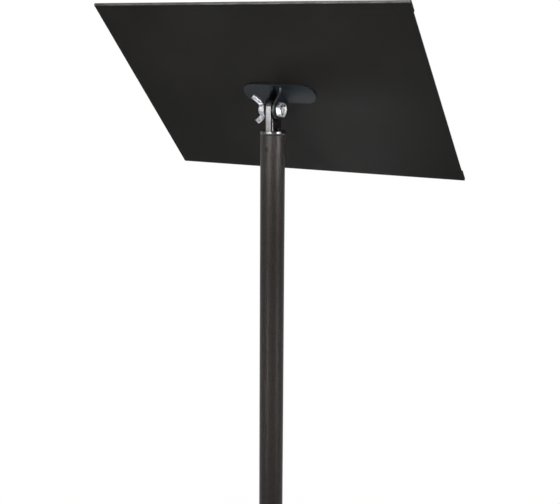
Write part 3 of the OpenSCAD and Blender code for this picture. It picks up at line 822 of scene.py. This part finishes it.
def knob_shape(radius, height, angle):
    """Pulls the knob's outer stretch in between its lobes."""
    share = max(0.0, (radius - neck_r - 1) / (knob_r - neck_r - 1))
    dip = (0.5 + 0.5 * math.cos(knob_lobes * angle)) ** 1.6
    return radius - lobe_depth * dip * share ** 1.5, height


neck_end = neck_x + neck_long
knob_profile = rounded([
    (0, stud_out + 0.1, 0), (stud_hole, stud_out + 0.1, 0), (stud_hole, neck_x, 0),
    (neck_r, neck_x, 0.8), (neck_r + 0.6, neck_end, 1.5),
    (knob_r - 3, neck_end + 1.2, 2), (knob_r, neck_end + 4, 2.5),
    (knob_r, knob_face - 4.5, 3), (knob_r - 4, knob_face - 0.8, 3),
    (0.5 * knob_r, knob_face - 0.2, 1), (0.48 * knob_r, knob_face - 1.2, 0.3),
    (0.44 * knob_r, knob_face - 1.2, 0.3), (0.42 * knob_r, knob_face - 0.3, 0.6),
    (0, knob_face, 0),
], 5)
knob = turned(knob_profile, 160, knob_shape)
knob_black = finish("knob_plastic", knob_plastic)
piece("clamp_knob_moulding", knob, knob_black, "knob", "clamp_knob", place=clamp_line)


# ---- Upper tube ---------------------------------------------------------
# A 32 mm steel tube that slides in the lower one. A nylon bush held by a spring clip
# guides its foot, which a moulded plug closes. The coat is a fine-textured brown-black.
def textured_mast(wire):
    """Powder coat with a coarser grit than the legs', and warmer."""
    grit = specks(wire, 1.3, 2.5)
    coat = ramp(wire, grit, 0.3, 0.7)
    return {
        "Base Color": mixed(wire, coat, (0.009, 0.0076, 0.0069), (0.023, 0.0191, 0.0172)),
        "Roughness": ramp(wire, specks(wire, 60), 0.3, 0.7, 0.36, 0.42),
        "Specular IOR Level": 0.12,
        "Normal": relief(wire, grit + 0.5 * specks(wire, 0.45, 2.0), 0.1),
    }


mast_paint = finish("mast_paint", textured_mast)
for node in ("tube_end_plug", "guide_bush"):
    dress_node(node, nylon)
dress_node("guide_clip", steel)
mast_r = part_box("upper_tube")[1].x / MM
pin_low, pin_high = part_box("plug_pin")
pin_z, pin_r = (pin_low.z + pin_high.z) / 2 / MM, pin_high.x / MM
pin_bore, dimple_r, dimple_deep, past_tube = pin_r + 0.05, pin_r + 1.4, 0.9, mast_r + 0.5
backwards = Matrix.Rotation(-math.pi / 2, 4, "X")
dimple = turned([
    (0, 0), (pin_bore, 0), (pin_bore, mast_r - dimple_deep), (dimple_r, past_tube), (0, past_tube),
], 48)
dimple.transform(Matrix.Translation((0, 0, pin_z)) @ backwards)
mast_tube = carved(tube_form("upper_tube", tube_wall, rim=0.5), dimple)
piece("upper_mast_tube", mast_tube, mast_paint, "mast", "upper_tube")


# ---- Mast head ----------------------------------------------------------
# A gloss black steel head: a stub inside the upper tube, a flange on its rim and an
# upright tongue, thickened on one side below the bracket's ear. A pin through the tube,
# painted over, holds it.
def gloss_lacquer(wire):
    """Near-mirror black with a faint ripple."""
    ripple = specks(wire, 5, 1.0)
    return {
        "Base Color": mixed(wire, ripple, (0.004, 0.004, 0.0045), (0.008, 0.008, 0.0085)),
        "Roughness": ramp(wire, ripple, 0.3, 0.7, 0.17, 0.22),
        "Normal": relief(wire, ripple, 0.02),
    }


gloss_black = finish("gloss_lacquer", gloss_lacquer)
hinge_z = hinge.z / MM
tongue_thick, tongue_half, tongue_edge, tongue_round, pivot_bore = 7, 12.2, 0.25, 8, 5.1
flange_top, flange_r, flange_thick, stub_r, stub_drop = hinge_z - 26.6, 16.5, 5, 14.45, 12
facing_x = Matrix.Rotation(math.pi / 2, 4, "Z") @ Matrix.Rotation(math.pi / 2, 4, "X")
tongue_foot = flange_top - hinge_z - 1
tongue_outline = rounded([
    (-tongue_half, tongue_foot, 0), (tongue_half, tongue_foot, 0),
    (tongue_half, tongue_half, tongue_round), (-tongue_half, tongue_half, tongue_round),
], 12)
tongue = moved(plate(tongue_outline, tongue_thick, tongue_edge), z=-tongue_thick / 2)
tongue.transform(facing_x)
stub_foot, flange_foot = pin_z - stub_drop, flange_top - flange_thick
stub = turned(rounded([
    (0, stub_foot, 0), (stub_r, stub_foot, 0.6), (stub_r, flange_foot, 0),
    (flange_r - 1, flange_foot, 0), (flange_r, flange_foot + 1.6, 0.6),
    (flange_r, flange_top, 0.6), (0, flange_top, 0),
]), 128)
shoulder_out, shoulder_back, shoulder_front, shoulder_drop = 4.2, 7.6, -15, 12
shoulder_bevel = 1
shoulder_outline = rounded([
    (0, shoulder_back, 0), (-tongue_thick / 2, shoulder_back, 0),
    (-shoulder_out, shoulder_back - shoulder_bevel, 0), (-shoulder_out, shoulder_front, 0.5),
    (0, shoulder_front, 0),
])
shoulder_tall = hinge_z - shoulder_drop - flange_top + 1
shoulder = moved(plate(shoulder_outline, shoulder_tall, rim=0.3, steps=1), z=flange_top - 1)
pivot_hole = moved(rod(pivot_bore, -20, 20), z=hinge_z, turn=90, axis="Y")
mast_head = carved(joined(stub, moved(tongue, z=hinge_z), shoulder), pivot_hole)
piece("mast_head", mast_head, gloss_black, "mast", "post_plug")
pin_long, pin_end = 11.7, mast_r - 12
pin = turned([
    (0, 0), (pin_r - 0.3, 0), (pin_r, 0.4),
    (pin_r, pin_long - 0.7), (pin_r - 0.5, pin_long - 0.2), (0, pin_long),
], 48)
pin.transform(Matrix.Translation((0, pin_end, pin_z)) @ backwards)
piece("head_pin", pin, mast_paint, "mast", "plug_pin")


# ---- Tilt bracket -------------------------------------------------------
# Pressed steel: a round-ended plate welded flat to the back of the desk and two ears
# that straddle the mast's head. A satin blue-grey coat.
def bracket_coat(wire):
    """Satin blue-grey, a little cloudy."""
    cloud = specks(wire, 14)
    return {
        "Base Color": mixed(wire, cloud, (0.0046, 0.0060, 0.0076), (0.0068, 0.0088, 0.011)),
        "Roughness": ramp(wire, cloud, 0.3, 0.7, 0.3, 0.38),
        "Specular IOR Level": 0.09,
        "Normal": relief(wire, specks(wire, 0.8), 0.025),
    }


def painted_rim_highlight(wire):
    """Painted highlight: the bracket coat made lighter and shinier on one ear's rim."""
    rim_specks = specks(wire, 2.5)
    rim_highlight_share = ramp(wire, rim_specks, 0.35, 0.65)
    return {
        "Base Color": mixed(wire, rim_highlight_share, (0.006, 0.006, 0.006), (0.03, 0.029, 0.028)),
        "Roughness": ramp(wire, rim_specks, 0.3, 0.7, 0.3, 0.42),
        "Specular IOR Level": 0.35,
    }


desk_lean = 43.3
desk_frame = Matrix.Translation(hinge) @ Matrix.Rotation(math.radians(90 - desk_lean), 4, "X")
plate_back, desk_back, plate_wide, plate_tall, plate_rise = 25.5, 28, 103, 32, 2
ear_r, ear_thick, ear_in, bracket_rim, weld_r, weld_short = 11.5, 3, 4.9, 0.45, 1.6, 1.2


def bend(centre, radius, start, end, steps=8):
    """Points along an arc, between two angles in degrees."""
    turns = [math.radians(start + (end - start) * i / steps) for i in range(steps + 1)]
    return [Vector(centre) + Vector((math.cos(a), math.sin(a))) * radius for a in turns]


end_r = plate_tall / 2
end_x = plate_wide / 2 - end_r
pad_outline = bend((end_x, plate_rise), end_r, -90, 90, 24)
pad_outline += bend((-end_x, plate_rise), end_r, 90, 270, 24)
pad = moved(plate(pad_outline, desk_back - plate_back, bracket_rim), z=plate_back)
ear_top, ear_bottom, ear_root = plate_rise + end_r, plate_rise - end_r, plate_back + 1
flare_up, flare_down = ear_top - ear_r, -ear_r - ear_bottom
ear_outline = bend((0, 0), ear_r, 180, 360, 40)
ear_outline += bend((ear_top, plate_back - flare_up), flare_up, 180, 90)
ear_outline += [Vector((ear_top, ear_root)), Vector((ear_bottom, ear_root))]
ear_outline += bend((ear_bottom, plate_back - flare_down), flare_down, 90, 0)
ear_out = ear_in + ear_thick
weld = [Vector((ear_out - 0.5, ear_root)), Vector((ear_out - 0.5, plate_back - weld_r))]
weld += bend((ear_out + weld_r, plate_back - weld_r), weld_r, 180, 90)
weld.append(Vector((ear_out + weld_r, ear_root)))
weld_ends = ear_bottom + weld_short, ear_top - weld_short
ears = []
for side in (-1, 1):
    ear_middle = side * (ear_in + ear_thick / 2)
    ear = moved(plate(ear_outline, ear_thick, bracket_rim), z=ear_middle - ear_thick / 2)
    ear.transform(facing_x)
    ears += [ear, loft([[(side * p.x, y, p.y) for p in weld] for y in weld_ends])]
ear_hole = moved(rod(pivot_bore, -20, 20), turn=90, axis="Y")
bracket = carved(joined(pad, *ears), ear_hole)
# The second material paints a highlight on the rim of the ear by the bolt's head; the other ear's
# rim keeps the plain coat.
for face in bracket.faces:
    middle = face.calc_center_median()
    on_ear = middle.z < plate_back - 1 and middle.length > pivot_bore + 3
    on_rim = abs(face.normal.x) < 0.5
    face.material_index = int(on_ear and on_rim and middle.x < 0)
bracket_paint = finish("bracket_coat", bracket_coat)
bracket = piece("tilt_bracket_pressing", bracket, bracket_paint, "desk", "tilt_bracket",
                place=desk_frame)
bracket.data.materials.append(finish("painted_rim_highlight", painted_rim_highlight))


# ---- Tilt bolt ----------------------------------------------------------
# A zinc M10 hex bolt through the ears and the tongue, with a washer under its head that wears the
# bracket's dark coat as painted shade, and fibre washers on both sides of the tongue that let the
# desk turn stiffly.
def pressed_fibre(wire):
    """Dark brown fibre board, quite matt."""
    strand = specks(wire, 0.9)
    shade = ramp(wire, strand, 0.3, 0.7)
    return {
        "Base Color": mixed(wire, shade, (0.004, 0.003, 0.0025), (0.012, 0.009, 0.007)),
        "Roughness": 0.8,
        "Specular IOR Level": 0.05,
        "Normal": relief(wire, strand, 0.06),
    }


pivot_line = Matrix.Translation(hinge) @ along_x
fibre_r, fibre_thick, washer_r, washer_thick = 10.5, 1.1, 10, 1.6
fibres = together([
    moved(washer_form(pivot_bore, fibre_r, fibre_thick, rim=0.2), z=inner)
    for inner in (-ear_in, ear_in - fibre_thick)
])
fibre = finish("pressed_fibre", pressed_fibre)
piece("fibre_washers", fibres, fibre, "desk", "friction_washers", place=pivot_line)
bolt_r, bolt_long, head_across, head_tall, head_turn = 5, 28, 17, 6.4, 14
head_seat = ear_out + washer_thick
bolt_washer = moved(washer_form(pivot_bore, washer_r, washer_thick), z=-head_seat)
# Painted shade: the washer under the head is given the bracket's dark coat.
piece("bolt_washer", bolt_washer, bracket_paint, "desk", "head_washer", place=pivot_line)
head = moved(hex_form(head_across, head_tall, dish=0.7), turn=head_turn)
head = moved(head, turn=180, axis="X")
shank = rod(bolt_r, -1, head_seat + ear_in + 1)
thread = threaded(bolt_r, pitch=1.5, start=head_seat + ear_in, end=bolt_long)
bolt = joined(head, shank, thread)
piece("hex_bolt_m10", moved(bolt, z=-head_seat), zinc, "desk", "tilt_bolt", place=pivot_line)


# ---- Wing nut -----------------------------------------------------------
# A zinc casting with two grooved wings that lean outwards, on a plain washer. It turns
# on the bolt's thread and moves out with it.
def cast_zinc(wire):
    """Duller and darker than the plated screws, with flow marks from the die."""
    grain = specks(wire, 0.8)
    flow = ramp(wire, specks(wire, 3.5, 1.0), 0.35, 0.65)
    return {
        "Base Color": mixed(wire, flow, (0.20, 0.205, 0.215), (0.44, 0.45, 0.47)),
        "Roughness": ramp(wire, grain, 0.25, 0.75, 0.42, 0.56),
        "Metallic": 1.0,
        "Normal": relief(wire, grain, 0.05),
    }


seat_low, seat_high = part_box("nut_washer")
nut_washer = moved(washer_form(pivot_bore, washer_r, washer_thick), z=seat_low.x / MM)
piece("nut_side_washer", nut_washer, zinc, "nut_washer", "nut_washer", place=pivot_line)
nut_gap, nut_r, nut_tall, wing_turn = 0.3, 8.2, 7, -20
wing_half, wing_rise, wing_wide, wing_thick, wing_rim = 19.2, 18.9, 6.6, 3.8, 0.7
wing_root = Vector((bolt_r, nut_tall / 2))
wing_tip = Vector((wing_half - 0.5 * wing_wide, wing_rise - 0.7 * wing_wide))
wing_line = wing_tip - wing_root
wing_long = wing_line.length + wing_wide / 3
wing_sag, groove_r, groove_row, groove_from, groove_short = 1.2, 0.8, 1.25, 4.5, 0.8
lean = math.atan2(wing_line.y, wing_line.x)


def curved(form):
    """Curves a form that lies along +X and stands it on the hub, leaning out."""
    for point in form.verts:
        along = point.co.x / wing_long
        point.co.y -= 4 * wing_sag * along * (1 - along)
    at_root = Matrix.Translation((wing_root.x, wing_root.y, 0))
    form.transform(Matrix.Rotation(math.pi / 2, 4, "X") @ at_root @ Matrix.Rotation(lean, 4, "Z"))
    return form


nut_hub = turned(rounded([
    (0, 0, 0), (nut_r, 0, 0.3), (nut_r, nut_tall / 3, 1),
    (nut_r - 0.9, nut_tall, 0.8), (0, nut_tall, 0),
]))
steps = [wing_long * i / 12 for i in range(13)]
wing_outline = [Vector((x, -wing_wide / 2)) for x in steps]
wing_outline += [Vector((x, wing_wide / 2)) for x in reversed(steps)]
groove_line = [(0, groove_from)] + [(groove_r, x) for x in steps[5:-1]]
groove_line.append((0, wing_long - groove_short))
groove_face = wing_thick / 2 + 0.1
wings, grooves = [], []
for turn in (0, 180):
    wing = moved(plate(wing_outline, wing_thick, wing_rim), z=-wing_thick / 2)
    wings.append(moved(curved(wing), turn=turn))
    for side in (-1, 1):
        for row in (-groove_row, groove_row):
            groove = turned(groove_line, 16)
            groove = moved(groove, y=row, z=side * groove_face, turn=90, axis="Y")
            grooves.append(moved(curved(groove), turn=turn))
wing_nut = cast(joined(nut_hub, *wings), grain=0.32, relax=3)
wing_nut = carved(wing_nut, rod(bolt_r + 0.05, -1, wing_rise + 1), *grooves)
wing_nut = moved(wing_nut, z=seat_high.x / MM + nut_gap)
nut_turned = Matrix.Rotation(math.radians(wing_turn), 4, "X")
piece("wing_nut_casting", wing_nut, finish("cast_zinc", cast_zinc), "wing_nut", "wing_nut",
      place=Matrix.Translation(hinge) @ nut_turned @ along_x, crease=60)


# ---- Desk ---------------------------------------------------------------
# One sheet of steel with its upper and lower edges folded flat to the front as hems.
# Satin brown-black powder coat, with faint dimples where the bracket is spot-welded.
def desk_coat(wire):
    """Satin powder coat, a little cloudy over the sheet."""
    cloud = ramp(wire, specks(wire, 90), 0.3, 0.7)
    return {
        "Base Color": mixed(wire, cloud, (0.0046, 0.0043, 0.004), (0.0066, 0.0062, 0.0059)),
        "Roughness": 0.38 + 0.08 * cloud,
        "Specular IOR Level": 0.034,
        "Normal": relief(wire, specks(wire, 1.8, 2.0), 0.05),
    }


def fold_highlight_coat(wire):
    """Painted highlight: the desk's coat made lighter and shinier along the folds, for the light
    that the hems' rounded edges catch.
    """
    shine = specks(wire, 12)
    fold_highlight_share = ramp(wire, shine, 0.35, 0.65)
    return {
        "Base Color": mixed(wire, fold_highlight_share, (0.016, 0.0155, 0.015), (0.04, 0.039, 0.038)),
        "Roughness": ramp(wire, shine, 0.3, 0.7, 0.3, 0.4),
        "Specular IOR Level": 0.4,
    }


def ribbon(line, thickness):
    """The outline of a bent strip of even thickness about its middle line."""
    sides = ([], [])
    for i, here in enumerate(line):
        came = (here - line[i - 1]).normalized() if i else (line[1] - here).normalized()
        goes = (line[i + 1] - here).normalized() if i + 1 < len(line) else came
        middle = Vector((-came.y - goes.y, came.x + goes.x)).normalized()
        step = middle * thickness / 2 / middle.dot(Vector((-came.y, came.x)))
        sides[0].append(here - step)
        sides[1].append(here + step)
    return sides[0] + sides[1][::-1]


def folded(line, thickness, width, rim=0.25):
    """Sheet bent along a line in the desk's Y-Z plane and as wide as that along X."""
    form = moved(plate(ribbon(line, thickness), width, rim, steps=2), z=-width / 2)
    form.transform(facing_x)
    return form


def weld_mark(x, y, z, radius=2.6, depth=0.22):
    """A cutter for the shallow round dimple that a spot welder leaves in a face."""
    ball = (radius * radius + depth * depth) / (2 * depth)
    outs = [radius * i / 6 for i in range(7)]
    bowl = [(out, ball - depth - math.sqrt(ball ** 2 - out ** 2)) for out in outs]
    return moved(turned(bowl + [(radius, 1), (0, 1)], 32), x=x, y=y, z=z)


desk_paint = finish("desk_coat", desk_coat)
panel_low, panel_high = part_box("desk_panel")
desk_wide = (panel_high.x - panel_low.x) / MM
desk_deep, sheet_thick, hem_wide, hem_gap = 303.96, 1.5, 17, 1
fold_r = (hem_gap + sheet_thick) / 2
fold_y, hem_end = desk_deep / 2 - sheet_thick - hem_gap / 2, desk_deep / 2 - hem_wide
sheet_mid, desk_face = desk_back + sheet_thick / 2, desk_back + sheet_thick
panel_line = [Vector((-hem_end, sheet_mid + 2 * fold_r))]
panel_line += bend((-fold_y, sheet_mid + fold_r), fold_r, 90, 270, 12)
panel_line += bend((fold_y, sheet_mid + fold_r), fold_r, -90, 90, 12)
panel_line += [Vector((hem_end, sheet_mid + 2 * fold_r))]
marks = [weld_mark(x, plate_rise, desk_face) for x in (-40, -22, 22, 40)]
panel = carved(folded(panel_line, sheet_thick, desk_wide), *marks)
# The folds take the second material, a painted highlight along the hems.
for face in panel.faces:
    face.material_index = int(abs(face.calc_center_median().y) > fold_y)
desk_sheet = piece("desk_sheet", panel, desk_paint, "desk", "desk_panel", place=desk_frame)
desk_sheet.data.materials.append(finish("fold_highlight_coat", fold_highlight_coat))


# ---- Ledge --------------------------------------------------------------
# The shelf that the music stands on: a strip bent into a flange, a shelf and a lip,
# spot-welded to the front of the desk just above its lower hem.
ledge_low, ledge_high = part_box("desk_ledge")
ledge_wide = (ledge_high.x - ledge_low.x) / MM
ledge_y = -desk_deep / 2 + hem_wide + 1
ledge_deep, ledge_lip, ledge_flange, ledge_thick, ledge_bend = 40, 12, 15, 1.5, 1.75
lip_round, mark_inset = 7, 6
half_thick = ledge_thick / 2
turn_in = half_thick + ledge_bend
lip_y, ledge_front = ledge_y + ledge_lip, desk_face + ledge_deep
ledge_line = [Vector((ledge_y + ledge_flange, desk_face + half_thick))]
ledge_line += bend((ledge_y + turn_in, desk_face + turn_in), ledge_bend, 270, 180)
ledge_line += bend((ledge_y + turn_in, ledge_front - turn_in), ledge_bend, 180, 90)
ledge_line.append(Vector((lip_y, ledge_front - half_thick)))
cut = [(1, 1), (-lip_round, 1)] + bend((-lip_round, -lip_round), lip_round, 90, 0)
cut.append((1, -lip_round))
corners = [
    loft([[(side * (ledge_wide / 2 + x), lip_y + y, z) for x, y in cut]
          for z in (ledge_front - 4, ledge_front + 1)])
    for side in (-1, 1)
]
mark_y, ledge_face = ledge_y + ledge_flange - mark_inset, desk_face + ledge_thick
marks = [weld_mark(x, mark_y, ledge_face) for x in range(-160, 161, 80)]
ledge = carved(folded(ledge_line, ledge_thick, ledge_wide), *corners, *marks)
piece("music_ledge", ledge, desk_paint, "desk", "desk_ledge", place=desk_frame)


# ---- Close --------------------------------------------------------------
# Colours shown as they are.
bpy.context.scene.view_settings.view_transform = "Standard"
